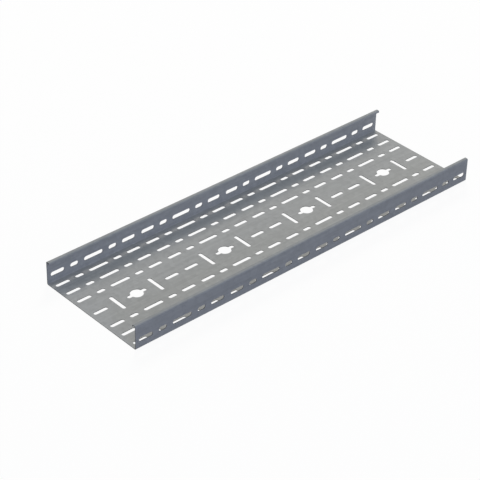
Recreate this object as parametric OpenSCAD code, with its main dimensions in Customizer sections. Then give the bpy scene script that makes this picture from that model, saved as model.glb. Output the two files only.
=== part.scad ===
// Universal cable tray: one length of perforated sheet steel, folded into a
// channel with two side walls, each ending in an inward lip with a down-turned edge.
// The tray runs along X, lies on its floor at z = 0 and is centred on X and Y.

/* [Tray] */
// Number of repeats of the slot pattern, which sets the length
repeats = 4; // [1:1:12]
// Length of one repeat of the slot pattern
repeat_l = 250; // [225:5:300]
// Width over the outsides of the two side walls
tray_w = 300; // [150:5:600]
// Height of the side walls, from the underside to the top of the lips
tray_h = 60; // [40:1:120]
// Thickness of the sheet
sheet_t = 1.5; // [0.8:0.1:2.5]

/* [Folds] */
// Inside radius of the folds between floor and walls
floor_fold_r = 1.5; // [1:0.25:8]
// Inside radius of the folds between walls and lips
lip_fold_r = 1.5; // [0.5:0.25:4]
// Inside radius of the fold at the inner edge of each lip
edge_fold_r = 1; // [0.5:0.25:3]
// Width of each lip, from the outside of its wall to its inner edge
lip_w = 10; // [8:0.5:25]
// Height of the down-turned edge, from the top of the lip
edge_h = 5; // [3.5:0.5:12]

/* [Floor slots] */
// Width of every slot in the floor
slot_w = 9; // [5:0.5:12]
// End-to-end length of the short slots
short_l = 21; // [14:0.5:30]
// End-to-end length of the middle slots
mid_l = 36; // [20:0.5:44]
// End-to-end length of the long slots
long_l = 51; // [30:0.5:60]
// Distance along the tray from the centre of a repeat to its short slots
short_x = 52.5; // [48:0.5:60]
// Distance along the tray from the end of a repeat to its nearest middle slots
mid_inset = 27.5; // [24:0.5:32]
// Distance from the outside of a wall to the first row of floor slots
row_inset = 18.75; // [14:0.25:30]
// Distance between neighbouring rows of floor slots
row_pitch = 37.5; // [20:0.5:60]

/* [Centre line] */
// End-to-end length of the slots that run across the tray
cross_l = 52; // [30:0.5:60]
// Plain sheet between the cross slots and the first row beside them
cross_web = 10; // [6:0.5:20]
// Diameter of the round holes
hole_d = 30; // [20:0.5:36]
// End-to-end length of the slot through each round hole
hole_slot_l = 51; // [40:0.5:60]

/* [Wall slots] */
// Width of the slots in the walls
wall_slot_w = 10; // [5:0.5:12]
// Height of the row of wall slots, from the underside of the floor to its centre line
wall_slot_z = 22; // [14:0.5:40]

/* [Hidden] */
$fn = 48;
// How far each cutter reaches past the sheet
cut_over = 2;
tray_l = repeats * repeat_l;
mid_x = repeat_l / 2 - mid_inset;
floor_fold_out = floor_fold_r + sheet_t;
lip_fold_out = lip_fold_r + sheet_t;
edge_fold_out = edge_fold_r + sheet_t;
// Rows of slots on each side of the centre line, as many as the floor has room for
row_first = tray_w / 2 - row_inset;
row_clear = cross_l / 2 + cross_web + slot_w / 2;
side_rows = max(0, floor((row_first - row_clear) / row_pitch) + 1);

// A quarter of a bent strip of sheet, in the quadrant of the two signs
module fold(inner_r, sign_x, sign_y) {
    outer_r = inner_r + sheet_t;
    intersection() {
        difference() {
            circle(r = outer_r);
            circle(r = inner_r);
        }
        translate([sign_x * outer_r / 2, sign_y * outer_r / 2])
            square(outer_r, center = true);
    }
}

// One side wall with its folds, lip and down-turned edge, seen along the tray
module wall_section() {
    wall_y = tray_w / 2;
    edge_y = wall_y - lip_w;
    translate([wall_y - floor_fold_out, floor_fold_out])
        fold(floor_fold_r, 1, -1);
    translate([wall_y - sheet_t, floor_fold_out])
        square([sheet_t, tray_h - floor_fold_out - lip_fold_out]);
    translate([wall_y - lip_fold_out, tray_h - lip_fold_out])
        fold(lip_fold_r, 1, 1);
    translate([edge_y + edge_fold_out, tray_h - sheet_t])
        square([lip_w - lip_fold_out - edge_fold_out, sheet_t]);
    translate([edge_y + edge_fold_out, tray_h - edge_fold_out])
        fold(edge_fold_r, -1, 1);
    translate([edge_y, tray_h - edge_h])
        square([sheet_t, edge_h - edge_fold_out]);
}

// The whole folded section: the floor between its two walls
module tray_section() {
    translate([floor_fold_out - tray_w / 2, 0])
        square([tray_w - 2 * floor_fold_out, sheet_t]);
    wall_section();
    mirror([1, 0])
        wall_section();
}

// A round-ended slot along the first axis
module slot(length, width) {
    straight = length - width;
    square([straight, width], center = true);
    for (side = [-1, 1])
        translate([side * straight / 2, 0])
            circle(d = width);
}

// The five slots of one row in one repeat: middle, short, long, short, middle
module slot_row(width) {
    slot(long_l, width);
    for (side = [-1, 1]) {
        translate([side * short_x, 0])
            slot(short_l, width);
        translate([side * mid_x, 0])
            slot(mid_l, width);
    }
}

// The centre line of one repeat: middle slots, cross slots and a slotted round hole
module centre_row() {
    circle(d = hole_d);
    slot(hole_slot_l, slot_w);
    for (side = [-1, 1]) {
        translate([side * short_x, 0])
            rotate(90)
                slot(cross_l, slot_w);
        translate([side * mid_x, 0])
            slot(mid_l, slot_w);
    }
}

// Places its children at the centre of every repeat along the tray
module each_repeat() {
    for (i = [0 : repeats - 1])
        translate([(i + 0.5) * repeat_l - tray_l / 2, 0, 0])
            children();
}

// All openings of the floor, as cutters
module floor_cutters() {
    translate([0, 0, -cut_over])
        linear_extrude(height = sheet_t + 2 * cut_over)
            each_repeat() {
                centre_row();
                if (side_rows > 0)
                    for (row = [0 : side_rows - 1])
                        for (side = [-1, 1])
                            translate([0, side * (row_first - row * row_pitch)])
                                slot_row(slot_w);
            }
}

// All openings of the two walls, as cutters that pass through both
module wall_cutters() {
    translate([0, tray_w / 2 + cut_over, wall_slot_z])
        rotate([90, 0, 0])
            linear_extrude(height = tray_w + 2 * cut_over)
                each_repeat()
                    slot_row(wall_slot_w);
}

// The tray, in galvanised sheet steel
module cable_tray() {
    color([0.62, 0.64, 0.66])
        difference() {
            translate([-tray_l / 2, 0, 0])
                rotate([90, 0, 90])
                    linear_extrude(height = tray_l)
                        tray_section();
            floor_cutters();
            wall_cutters();
        }
}

cable_tray();
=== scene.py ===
"""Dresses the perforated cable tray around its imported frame, with its studio and camera."""
import logging
import math
from dataclasses import dataclass
from enum import Enum
from typing import Callable, Iterable, Optional, Sequence

import bpy
from mathutils import Matrix, Vector


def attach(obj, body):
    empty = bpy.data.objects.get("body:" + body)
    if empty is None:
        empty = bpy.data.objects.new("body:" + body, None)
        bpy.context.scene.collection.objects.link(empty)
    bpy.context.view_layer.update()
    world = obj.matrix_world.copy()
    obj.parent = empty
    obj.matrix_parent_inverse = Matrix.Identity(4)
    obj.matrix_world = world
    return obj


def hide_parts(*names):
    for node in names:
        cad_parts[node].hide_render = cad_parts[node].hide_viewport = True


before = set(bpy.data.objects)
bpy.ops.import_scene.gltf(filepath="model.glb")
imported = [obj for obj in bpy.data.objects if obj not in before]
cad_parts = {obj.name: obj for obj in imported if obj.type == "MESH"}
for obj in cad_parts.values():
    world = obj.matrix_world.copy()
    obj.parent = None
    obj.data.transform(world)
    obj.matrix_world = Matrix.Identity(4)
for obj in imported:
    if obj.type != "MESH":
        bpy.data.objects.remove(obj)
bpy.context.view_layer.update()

LOG = logging.getLogger("cable_tray")
MM = 0.001
# Two places nearer than this are the same place
TOUCH = 0.02 * MM
SIDES = (-1, 1)
# A bevel with this profile is a part of a circle
ROUND_PROFILE = 0.5
# A Mix node's colour sockets share their names with its others, so they go by number
MIX_SHARE, MIX_FIRST, MIX_SECOND, MIX_RESULT = 0, 6, 7, 2


def linear(hex_colour: str) -> tuple[float, float, float, float]:
    """Turns an sRGB hex colour into the linear values that a shader takes.

    The numbers of the curve are those of the sRGB standard.

    Args:
        hex_colour: six hex digits after a hash sign.

    Returns:
        Red, green, blue and a full alpha.
    """
    def channel(value: int) -> float:
        """Turns one 8-bit channel linear."""
        share = value / 255
        return share / 12.92 if share <= 0.04045 else ((share + 0.055) / 1.055) ** 2.4
    red, green, blue = (channel(int(hex_colour[i:i + 2], 16)) for i in (1, 3, 5))
    return (red, green, blue, 1.0)


def add_node(tree: bpy.types.NodeTree, kind: str, settings: Optional[dict] = None,
             inputs: Optional[dict] = None) -> bpy.types.Node:
    """Adds one shader node with its settings, values and links.

    Args:
        tree: the node tree that takes the node.
        kind: the node's Blender type name.
        settings: attributes of the node itself.
        inputs: a socket's name, or its number where names repeat, to its value or to the
            output socket that feeds it.

    Returns:
        The new node.
    """
    node = tree.nodes.new(kind)
    for name, value in (settings or {}).items():
        setattr(node, name, value)
    for name, value in (inputs or {}).items():
        if isinstance(value, bpy.types.NodeSocket):
            tree.links.new(value, node.inputs[name])
        else:
            node.inputs[name].default_value = value
    return node


def only(piece: bpy.types.Object) -> None:
    """Makes one object the whole selection and the active one.

    Args:
        piece: the object.
    """
    bpy.ops.object.select_all(action="DESELECT")
    piece.select_set(True)
    bpy.context.view_layer.objects.active = piece


def pick_edges(piece: bpy.types.Object, *tests: Callable[[Vector], bool]) -> int:
    """Selects the edges whose two ends both pass one of the tests of their place.

    Args:
        piece: the mesh in edit mode.
        tests: each says of an end's place whether it belongs.

    Returns:
        How many edges were selected.
    """
    bpy.ops.mesh.select_mode(type="EDGE")
    bpy.ops.mesh.select_all(action="DESELECT")
    bpy.ops.object.mode_set(mode="OBJECT")
    places = [vertex.co for vertex in piece.data.vertices]
    count = 0
    for edge in piece.data.edges:
        if any(all(test(places[i]) for i in edge.vertices) for test in tests):
            edge.select = True
            count += 1
    bpy.ops.object.mode_set(mode="EDIT")
    return count


def apply_modifier(piece: bpy.types.Object, kind: str, **settings: object) -> None:
    """Adds a modifier with its settings and applies it at once.

    Args:
        piece: the mesh that takes it.
        kind: the modifier's Blender type name.
        settings: the modifier's attributes.
    """
    only(piece)
    modifier = piece.modifiers.new(kind.title(), kind)
    for name, value in settings.items():
        setattr(modifier, name, value)
    bpy.ops.object.modifier_apply(modifier=modifier.name)


@dataclass(frozen=True)
class GalvanisedSteel:
    """Hot-dip galvanised sheet, rolled and folded: zinc crystals dull the steel to a soft grey.

    The weathered zinc skin scatters light broadly and hides the bare metal, so it reads as a
    satin grey and not as a mirror. Each crystal leans a little, which gives the faint mottled
    spangle, and the rolls leave faint streaks along the sheet. The tops of the folded lips are
    painted darker than the rest of the sheet: this is painted shade, which stands in for the
    light that the lips miss. Real roll lines are under a millimetre apart, so they are drawn
    coarser, to show at all.
    """

    name: str = "galvanised_sheet_steel"
    light: str = "#c5c6c6"
    dark: str = "#a2a3a3"
    # Painted shade: this grey multiplies the colour of the lip tops, which rise from the first
    # height to the second
    lip_top_shade: str = "#e6e8ea"
    lip_top_shade_from_mm: float = 58.6
    lip_top_shade_to_mm: float = 59.8
    metallic: float = 0.03
    specular: float = 0.15
    roughness: tuple[float, float] = (0.42, 0.52)
    crystal_mm: float = 9.0
    crystal_share: float = 0.25
    roll_line_mm: float = 4.5
    roll_line_share: float = 0.6
    roll_line_stretch: float = 50.0
    cloud_mm: float = 140.0
    cloud_share: float = 0.15
    cloud_detail: float = 3.0
    relief_mm: float = 0.4
    relief_strength: float = 0.04
    roll_line_relief: float = 0.5

    def build(self) -> bpy.types.Material:
        """Makes the material.

        Returns:
            The finished material.
        """
        material = bpy.data.materials.new(self.name)
        material.use_nodes = True
        tree = material.node_tree
        shader = next(n for n in tree.nodes if n.type == "BSDF_PRINCIPLED")
        place = add_node(tree, "ShaderNodeTexCoord").outputs["Object"]
        crystals = add_node(tree, "ShaderNodeTexVoronoi", {"feature": "F1"},
                            {"Vector": place, "Scale": 1 / (self.crystal_mm * MM)})
        tone = add_node(tree, "ShaderNodeSeparateColor", None,
                        {"Color": crystals.outputs["Color"]})
        clouds = add_node(tree, "ShaderNodeTexNoise", None,
                          {"Vector": place, "Scale": 1 / (self.cloud_mm * MM),
                           "Detail": self.cloud_detail})
        along = add_node(tree, "ShaderNodeMapping", None,
                         {"Vector": place, "Scale": (1 / self.roll_line_stretch, 1.0, 1.0)})
        lines = add_node(tree, "ShaderNodeTexNoise", None,
                         {"Vector": along.outputs[0], "Scale": 1 / (self.roll_line_mm * MM)})
        share = 0.0
        for pattern, weight in ((tone.outputs[0], self.crystal_share),
                                (lines.outputs[0], self.roll_line_share),
                                (clouds.outputs[0], self.cloud_share)):
            added = add_node(tree, "ShaderNodeMath", {"operation": "MULTIPLY_ADD"},
                             {0: pattern, 1: weight, 2: share})
            share = added.outputs[0]
        colour = add_node(tree, "ShaderNodeMix", {"data_type": "RGBA"},
                          {MIX_SHARE: share, MIX_FIRST: linear(self.dark),
                           MIX_SECOND: linear(self.light)})
        # Painted shade: from the lip tops' height up, the colour is multiplied darker, so that
        # the lips read darker than the floor
        height = add_node(tree, "ShaderNodeSeparateXYZ", None, {"Vector": place})
        folded = add_node(tree, "ShaderNodeMapRange", {"interpolation_type": "SMOOTHSTEP"},
                          {"Value": height.outputs["Z"], "From Min": self.lip_top_shade_from_mm * MM,
                           "From Max": self.lip_top_shade_to_mm * MM})
        lip_shaded_colour = add_node(tree, "ShaderNodeMix", {"data_type": "RGBA", "blend_type": "MULTIPLY"},
                          {MIX_SHARE: folded.outputs[0], MIX_FIRST: colour.outputs[MIX_RESULT],
                           MIX_SECOND: linear(self.lip_top_shade)})
        tree.links.new(lip_shaded_colour.outputs[MIX_RESULT], shader.inputs["Base Color"])
        rough = add_node(tree, "ShaderNodeMapRange", None,
                         {"Value": tone.outputs[1], "To Min": self.roughness[0],
                          "To Max": self.roughness[1]})
        tree.links.new(rough.outputs[0], shader.inputs["Roughness"])
        shader.inputs["Metallic"].default_value = self.metallic
        shader.inputs["Specular IOR Level"].default_value = self.specular
        relief = add_node(tree, "ShaderNodeMath", {"operation": "MULTIPLY_ADD"},
                          {0: lines.outputs[0], 1: self.roll_line_relief, 2: tone.outputs[2]})
        bump = add_node(tree, "ShaderNodeBump", None,
                        {"Strength": self.relief_strength, "Distance": self.relief_mm * MM,
                         "Height": relief.outputs[0]})
        tree.links.new(bump.outputs[0], shader.inputs["Normal"])
        return material


@dataclass(frozen=True)
class CutSteelEdge:
    """Punched and sheared edges: bare steel with a thin smear of zinc, a darker matt grey.

    They show the sheet's thickness as a thin dark line.
    """

    name: str = "cut_steel_edge"
    light: str = "#3e3f41"
    dark: str = "#2f3032"
    metallic: float = 0.1
    roughness: float = 0.55
    shear_mm: float = 0.8
    shear_detail: float = 2.0

    def build(self) -> bpy.types.Material:
        """Makes the material.

        Returns:
            The finished material.
        """
        material = bpy.data.materials.new(self.name)
        material.use_nodes = True
        tree = material.node_tree
        shader = next(n for n in tree.nodes if n.type == "BSDF_PRINCIPLED")
        place = add_node(tree, "ShaderNodeTexCoord").outputs["Object"]
        shear = add_node(tree, "ShaderNodeTexNoise", None,
                         {"Vector": place, "Scale": 1 / (self.shear_mm * MM),
                          "Detail": self.shear_detail})
        colour = add_node(tree, "ShaderNodeMix", {"data_type": "RGBA"},
                          {MIX_SHARE: shear.outputs[0], MIX_FIRST: linear(self.dark),
                           MIX_SECOND: linear(self.light)})
        tree.links.new(colour.outputs[MIX_RESULT], shader.inputs["Base Color"])
        shader.inputs["Metallic"].default_value = self.metallic
        shader.inputs["Roughness"].default_value = self.roughness
        return material


class Direction(Enum):
    """Which way a slot runs, as its turn from the tray's length in degrees."""

    ALONG = 0
    ACROSS = 90


@dataclass(frozen=True)
class SlotShape:
    """One round-ended slot: its length, width and direction, in millimetres."""

    length: float
    width: float
    direction: Direction = Direction.ALONG


@dataclass
class SlotPunch:
    """Makes the round-ended and round punches that cut the sheet."""

    arc_steps: int = 32
    flat_degrees: float = 1.0
    finish: Optional[bpy.types.Material] = None

    def round_punch(self, diameter: float, height: float) -> bpy.types.Object:
        """Makes a round punch that stands on z = 0 at the origin.

        Args:
            diameter: its diameter in millimetres.
            height: its height in millimetres.

        Returns:
            The punch.
        """
        bpy.ops.object.select_all(action="DESELECT")
        bpy.ops.mesh.primitive_circle_add(vertices=self.arc_steps, radius=diameter / 2 * MM,
                                          fill_type="NGON", location=(0, 0, 0))
        punch = bpy.context.object
        self.raise_up(punch, height)
        return punch

    def slot_punch(self, shape: SlotShape, height: float) -> bpy.types.Object:
        """Makes a round-ended punch that stands on z = 0 at the origin.

        Args:
            shape: the slot that it cuts.
            height: its height in millimetres.

        Returns:
            The punch.
        """
        straight = (shape.length - shape.width) * MM
        bpy.ops.object.select_all(action="DESELECT")
        bpy.ops.mesh.primitive_circle_add(vertices=self.arc_steps, radius=shape.width / 2 * MM,
                                          fill_type="NGON", location=(0, 0, 0))
        punch = bpy.context.object
        bpy.ops.object.mode_set(mode="EDIT")
        bpy.ops.mesh.select_all(action="SELECT")
        bpy.ops.transform.translate(value=(-straight / 2, 0, 0))
        pick_edges(punch, lambda co: co.x > -straight / 2 - TOUCH)
        bpy.ops.mesh.extrude_edges_move(TRANSFORM_OT_translate={"value": (straight, 0, 0)})
        bpy.ops.object.mode_set(mode="OBJECT")
        self.raise_up(punch, height)
        if shape.direction is Direction.ACROSS:
            turn = math.radians(shape.direction.value)
            punch.data.transform(Matrix.Rotation(turn, 4, "Z"))
        return punch

    def raise_up(self, punch: bpy.types.Object, height: float) -> None:
        """Raises a flat outline into a closed punch with its normals outwards.

        Args:
            punch: the outline, which becomes the punch.
            height: how far it is raised, in millimetres.
        """
        bpy.ops.object.mode_set(mode="EDIT")
        bpy.ops.mesh.select_mode(type="FACE")
        bpy.ops.mesh.select_all(action="SELECT")
        bpy.ops.mesh.dissolve_limited(angle_limit=math.radians(self.flat_degrees))
        bpy.ops.mesh.select_all(action="SELECT")
        bpy.ops.mesh.extrude_region_move(TRANSFORM_OT_translate={"value": (0, 0, height * MM)})
        bpy.ops.mesh.select_all(action="SELECT")
        bpy.ops.mesh.normals_make_consistent(inside=False)
        bpy.ops.object.mode_set(mode="OBJECT")
        if self.finish:
            punch.data.materials.append(self.finish)


@dataclass
class CableTray:
    """One length of perforated sheet, folded into a channel with lipped side walls.

    Sizes are in millimetres, the same as the frame's. A slot's place along the tray is
    measured from the centre of its repeat, and the fold sizes are outside radii.
    """

    length: float = 1000.0
    width: float = 300.0
    height: float = 60.0
    sheet: float = 1.5
    floor_fold: float = 3.0
    lip_fold: float = 3.0
    edge_fold: float = 2.5
    lip: float = 10.0
    edge: float = 5.0
    repeat: float = 250.0
    row_inset: float = 18.75
    row_pitch: float = 37.5
    side_rows: int = 3
    short_x: float = 52.5
    middle_x: float = 97.5
    slot_width: float = 9.0
    short_slot: SlotShape = SlotShape(21.0, slot_width)
    middle_slot: SlotShape = SlotShape(36.0, slot_width)
    long_slot: SlotShape = SlotShape(51.0, slot_width)
    cross_slot: SlotShape = SlotShape(52.0, slot_width, Direction.ACROSS)
    hole: float = 30.0
    wall_slot_width: float = 10.0
    wall_slot_z: float = 22.0
    floor_fold_steps: int = 10
    lip_fold_steps: int = 8
    eased_edge: float = 0.22
    eased_steps: int = 2
    sharp_degrees: float = 80.0
    face_weight: int = 100
    punch_over: float = 2.0

    def repeat_centres(self) -> list[float]:
        """Gives where each repeat of the slot pattern has its centre along the tray."""
        count = round(self.length / self.repeat)
        return [(i + 0.5) * self.repeat - self.length / 2 for i in range(count)]

    def row_places(self) -> list[float]:
        """Gives the places across the tray of the rows beside the centre line."""
        first = self.width / 2 - self.row_inset
        return [side * (first - row * self.row_pitch)
                for side in SIDES for row in range(self.side_rows)]

    def row_slots(self) -> list[tuple[float, SlotShape]]:
        """Lists the slots of one side row or wall row in one repeat.

        Returns:
            Each slot's place along the repeat, and the slot.
        """
        slots = [(0.0, self.long_slot)]
        for side in SIDES:
            slots.append((side * self.short_x, self.short_slot))
            slots.append((side * self.middle_x, self.middle_slot))
        return slots

    def centre_slots(self) -> list[tuple[float, SlotShape]]:
        """Lists the slots on the centre line of one repeat.

        Returns:
            Each slot's place along the repeat, and the slot.
        """
        slots = [(0.0, self.long_slot)]
        for side in SIDES:
            slots.append((side * self.short_x, self.cross_slot))
            slots.append((side * self.middle_x, self.middle_slot))
        return slots

    def fold_sheet(self, finishes: Sequence[bpy.types.Material]) -> bpy.types.Object:
        """Folds the outer skin of the tray and gives it the sheet's thickness.

        Args:
            finishes: the finish of the sheet's faces, then that of its cut edges.

        Returns:
            The unpunched tray.
        """
        half, top = self.width / 2 * MM, self.height * MM
        inner = (self.width / 2 - self.lip) * MM
        bpy.ops.object.select_all(action="DESELECT")
        bpy.ops.mesh.primitive_plane_add(size=1, location=(0, 0, 0))
        skin = bpy.context.object
        skin.name = skin.data.name = "tray_sheet"
        for finish in finishes:
            skin.data.materials.append(finish)
        bpy.ops.object.mode_set(mode="EDIT")
        bpy.ops.mesh.select_all(action="SELECT")
        bpy.ops.transform.resize(value=(self.length * MM, self.width * MM, 1))
        pick_edges(skin, lambda co: co.y > half - TOUCH, lambda co: co.y < TOUCH - half)
        bpy.ops.mesh.extrude_edges_move(TRANSFORM_OT_translate={"value": (0, 0, top)})
        bpy.ops.mesh.extrude_edges_move(TRANSFORM_OT_translate={"value": (0, 0, 0)})
        bpy.ops.transform.resize(value=(1, inner / half, 1), center_override=(0, 0, 0))
        bpy.ops.mesh.extrude_edges_move(TRANSFORM_OT_translate={"value": (0, 0, -self.edge * MM)})
        self.bend(skin, half, 0.0, self.floor_fold, self.floor_fold_steps)
        self.bend(skin, half, top, self.lip_fold, self.lip_fold_steps)
        self.bend(skin, inner, top, self.edge_fold, self.lip_fold_steps)
        self.part_cells()
        bpy.ops.mesh.select_all(action="SELECT")
        bpy.ops.mesh.normals_make_consistent(inside=False)
        bpy.ops.object.mode_set(mode="OBJECT")
        apply_modifier(skin, "SOLIDIFY", thickness=self.sheet * MM, offset=-1.0,
                       use_even_offset=True, material_offset_rim=1)
        return skin

    def bend(self, skin: bpy.types.Object, y: float, z: float, radius: float, steps: int) -> None:
        """Rounds the two fold edges at a place of the section.

        Args:
            skin: the outer skin in edit mode.
            y: how far the edges lie from the centre line, in metres.
            z: their height, in metres.
            radius: the outside radius of the fold, in millimetres.
            steps: how many facets round the fold.
        """
        count = pick_edges(skin, *[
            lambda co, side=side: abs(co.y - side * y) < TOUCH and abs(co.z - z) < TOUCH
            for side in SIDES])
        LOG.info("fold at %.1f, %.1f mm: %d edges", y / MM, z / MM, count)
        bpy.ops.mesh.bevel(offset=radius * MM, offset_type="OFFSET", segments=steps,
                           profile=ROUND_PROFILE)

    def part_cells(self) -> None:
        """Parts the skin between the slots, so that each flat cell takes one slot.

        The folded skin is the object in edit mode.
        """
        near_web = (self.short_x - self.short_slot.length / 2 + self.long_slot.length / 2) / 2
        far_web = (self.middle_x - self.middle_slot.length / 2
                   + self.short_x + self.short_slot.length / 2) / 2
        cuts = []
        for centre in self.repeat_centres():
            for offset in (-far_web, -near_web, near_web, far_web, self.repeat / 2):
                cuts.append(((centre + offset, 0, 0), (1, 0, 0)))
        rows = sorted({abs(y) for y in self.row_places()})
        between = [(a + b) / 2 for a, b in zip(rows, rows[1:])]
        between.append((rows[0] - self.short_slot.width / 2 + self.cross_slot.length / 2) / 2)
        cuts += [((0, side * y, 0), (0, 1, 0)) for y in between for side in SIDES]
        for place, normal in cuts:
            bpy.ops.mesh.select_all(action="SELECT")
            bpy.ops.mesh.bisect(plane_co=[v * MM for v in place], plane_no=normal)

    def gather(self, punch: bpy.types.Object, moves: Iterable[Matrix]) -> bpy.types.Object:
        """Copies one punch to each place, joins the copies and removes the first.

        Args:
            punch: the punch, made once.
            moves: one placing matrix for each copy.

        Returns:
            The joined punches.
        """
        copies = []
        for move in moves:
            copy = punch.copy()
            copy.data = punch.data.copy()
            copy.data.transform(move)
            bpy.context.collection.objects.link(copy)
            copies.append(copy)
        bpy.data.objects.remove(punch)
        return self.join(copies)

    @staticmethod
    def join(parts: Sequence[bpy.types.Object]) -> bpy.types.Object:
        """Joins objects into the first of them.

        Args:
            parts: the objects.

        Returns:
            The joined object.
        """
        only(parts[0])
        for part in parts:
            part.select_set(True)
        bpy.ops.object.join()
        return parts[0]

    def punch_sheet(self, tray: bpy.types.Object, tools: SlotPunch) -> None:
        """Punches every slot and round hole of the floor and the walls.

        Args:
            tray: the folded tray.
            tools: the maker of punches.
        """
        depth = self.sheet + 2 * self.punch_over
        placed: dict[SlotShape, list[Matrix]] = {}
        for centre in self.repeat_centres():
            for offset, shape in self.centre_slots():
                placed.setdefault(shape, []).append(self.lower(centre + offset, 0.0))
            for row in self.row_places():
                for offset, shape in self.row_slots():
                    placed.setdefault(shape, []).append(self.lower(centre + offset, row))
        slots = [self.gather(tools.slot_punch(shape, depth), moves)
                 for shape, moves in placed.items()]
        turn = Matrix.Rotation(math.pi / 2, 4, "X")
        start = (self.width / 2 + self.punch_over) * MM
        for offset, shape in self.row_slots():
            wide = SlotShape(shape.length, self.wall_slot_width)
            moves = [Matrix.Translation(((centre + offset) * MM, start, self.wall_slot_z * MM))
                     @ turn for centre in self.repeat_centres()]
            punch = tools.slot_punch(wide, self.width + 2 * self.punch_over)
            slots.append(self.gather(punch, moves))
        holes = self.gather(tools.round_punch(self.hole, depth),
                            [self.lower(centre, 0.0) for centre in self.repeat_centres()])
        for punches in (self.join(slots), holes):
            apply_modifier(tray, "BOOLEAN", operation="DIFFERENCE", object=punches,
                           solver="EXACT", material_mode="TRANSFER")
            bpy.data.objects.remove(punches)

    def lower(self, x: float, y: float) -> Matrix:
        """Gives the place of a floor punch that starts below the sheet."""
        return Matrix.Translation((x * MM, y * MM, -self.punch_over * MM))

    def ease_edges(self, tray: bpy.types.Object) -> None:
        """Eases the sheared and punched edges and evens the shading of the folds.

        Args:
            tray: the punched tray.
        """
        apply_modifier(tray, "BEVEL", width=self.eased_edge * MM, segments=self.eased_steps,
                       limit_method="ANGLE", angle_limit=math.radians(self.sharp_degrees),
                       use_clamp_overlap=True)
        bpy.ops.object.shade_smooth()
        apply_modifier(tray, "WEIGHTED_NORMAL", mode="FACE_AREA", weight=self.face_weight)

    def build(self) -> bpy.types.Object:
        """Makes and dresses the tray.

        Returns:
            The finished piece, riding on the frame's root.
        """
        sheet_finish, edge_finish = GalvanisedSteel().build(), CutSteelEdge().build()
        tray = self.fold_sheet((sheet_finish, edge_finish))
        self.punch_sheet(tray, SlotPunch(finish=edge_finish))
        self.ease_edges(tray)
        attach(tray, "root")
        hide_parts("cable_tray")
        return tray


@dataclass(frozen=True)
class SoftBox:
    """One large square area lamp that faces the tray from far off.

    Its distance and size are in metres, and its place is given from the tray's middle.
    """

    name: str
    toward: tuple[float, float, float]
    watts: float
    colour: str
    distance: float = 10.0
    size: float = 3.0

    def build(self) -> bpy.types.Object:
        """Hangs the lamp, which lights the tray but is no mirror image in it.

        Returns:
            The lamp.
        """
        lamp = bpy.data.lights.new(self.name, "AREA")
        lamp.shape = "SQUARE"
        lamp.size = self.size
        lamp.energy = self.watts
        lamp.color = linear(self.colour)[:3]
        holder = bpy.data.objects.new(self.name, lamp)
        bpy.context.collection.objects.link(holder)
        direction = Vector(self.toward).normalized()
        holder.location = direction * self.distance
        holder.rotation_euler = direction.to_track_quat("Z", "Y").to_euler()
        holder.visible_glossy = False
        return holder


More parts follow.
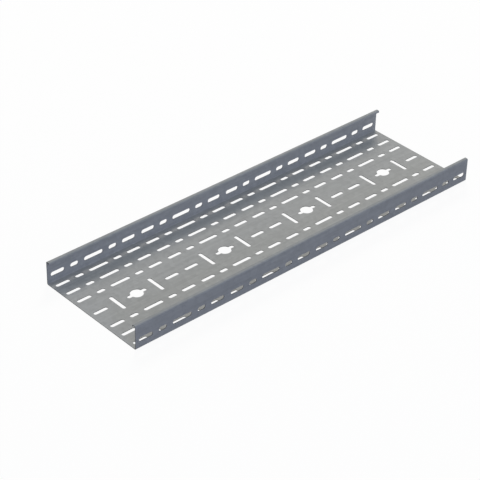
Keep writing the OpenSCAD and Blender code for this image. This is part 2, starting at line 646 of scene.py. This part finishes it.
@dataclass
class Studio:
    """The plain pale floor, the two soft lamps, the fill from all round and the camera.

    The floor's paper is dark grey to the light, so that it throws little back at the tray, and
    glows near white to whatever looks at it. The tray's shadow still falls on it.
    """

    floor_size: float = 40.0
    floor_drop_mm: float = 0.4
    floor_colour: str = "#484848"
    floor_glow: float = 0.94
    glow_colour: str = "#ffffff"
    fill_colour: str = "#f1f9ff"
    fill_strength: float = 0.436
    lamps: tuple[SoftBox, ...] = (
        SoftBox("back_softbox", toward=(0.90, 0.86, 1.0), watts=524.0, colour="#fff6e7"),
        SoftBox("front_softbox", toward=(-0.3, -1.0, 0.35), watts=156.0, colour="#b8c8ff"),
    )
    lens_mm: float = 131.943
    sensor_mm: float = 36.0
    camera_place: tuple[float, float, float] = (-2.26569, -2.36982, 2.21735)
    camera_forward: tuple[float, float, float] = (0.55926, 0.60635, -0.565304)
    camera_right: tuple[float, float, float] = (0.744341, -0.667487, 0.020432)

    @staticmethod
    def seen_share(tree: bpy.types.NodeTree) -> bpy.types.NodeSocket:
        """Gives 1 for camera, glossy and transmission rays and 0 for the rays that light.

        Args:
            tree: the floor's node tree.

        Returns:
            The socket that gives it.
        """
        path = add_node(tree, "ShaderNodeLightPath")
        share = path.outputs["Is Camera Ray"]
        for name in ("Is Glossy Ray", "Is Transmission Ray"):
            both = add_node(tree, "ShaderNodeMath", {"operation": "ADD", "use_clamp": True},
                            {0: share, 1: path.outputs[name]})
            share = both.outputs[0]
        return share

    def lay_floor(self) -> None:
        """Lays the plain floor just under the tray."""
        bpy.ops.object.select_all(action="DESELECT")
        bpy.ops.mesh.primitive_plane_add(size=self.floor_size,
                                         location=(0, 0, -self.floor_drop_mm * MM))
        floor = bpy.context.object
        floor.name = floor.data.name = "studio_floor"
        material = bpy.data.materials.new("studio_paper")
        material.use_nodes = True
        tree = material.node_tree
        tree.nodes.clear()
        paper = add_node(tree, "ShaderNodeBsdfDiffuse", None,
                         {"Color": linear(self.floor_colour)})
        strength = add_node(tree, "ShaderNodeMath", {"operation": "MULTIPLY"},
                            {0: self.seen_share(tree), 1: self.floor_glow})
        glow = add_node(tree, "ShaderNodeEmission", None,
                        {"Color": linear(self.glow_colour), "Strength": strength.outputs[0]})
        both = add_node(tree, "ShaderNodeAddShader", None,
                        {0: paper.outputs[0], 1: glow.outputs[0]})
        add_node(tree, "ShaderNodeOutputMaterial", None, {"Surface": both.outputs[0]})
        floor.data.materials.append(material)

    def fill_surroundings(self) -> None:
        """Sets the near-white fill light that comes from all round."""
        world = bpy.data.worlds.new("studio_fill")
        bpy.context.scene.world = world
        world.use_nodes = True
        tree = world.node_tree
        tree.nodes.clear()
        fill = add_node(tree, "ShaderNodeBackground", None,
                        {"Color": linear(self.fill_colour), "Strength": self.fill_strength})
        add_node(tree, "ShaderNodeOutputWorld", None, {"Surface": fill.outputs[0]})

    def place_camera(self) -> None:
        """Places the camera where the photograph was taken from."""
        data = bpy.data.cameras.new("camera")
        data.sensor_width = self.sensor_mm
        data.lens = self.lens_mm
        camera = bpy.data.objects.new("camera", data)
        bpy.context.collection.objects.link(camera)
        back = -Vector(self.camera_forward).normalized()
        right = Vector(self.camera_right).normalized()
        up = back.cross(right)
        camera.matrix_world = Matrix.Translation(self.camera_place) @ Matrix(
            (right, up, back)).transposed().to_4x4()
        bpy.context.scene.camera = camera

    def build(self) -> None:
        """Sets up the whole studio."""
        self.lay_floor()
        self.fill_surroundings()
        for lamp in self.lamps:
            LOG.info("lamp %s", lamp.build().name)
        self.place_camera()
        bpy.context.scene.view_settings.view_transform = "Standard"


def main() -> None:
    """Builds the tray and the studio in order."""
    logging.basicConfig(level=logging.INFO, format="%(name)s: %(message)s")
    tray = CableTray().build()
    LOG.info("%s: %d faces, finishes %s", tray.name, len(tray.data.polygons),
             [finish.name for finish in tray.data.materials])
    Studio().build()


if __name__ == "__main__":
    main()
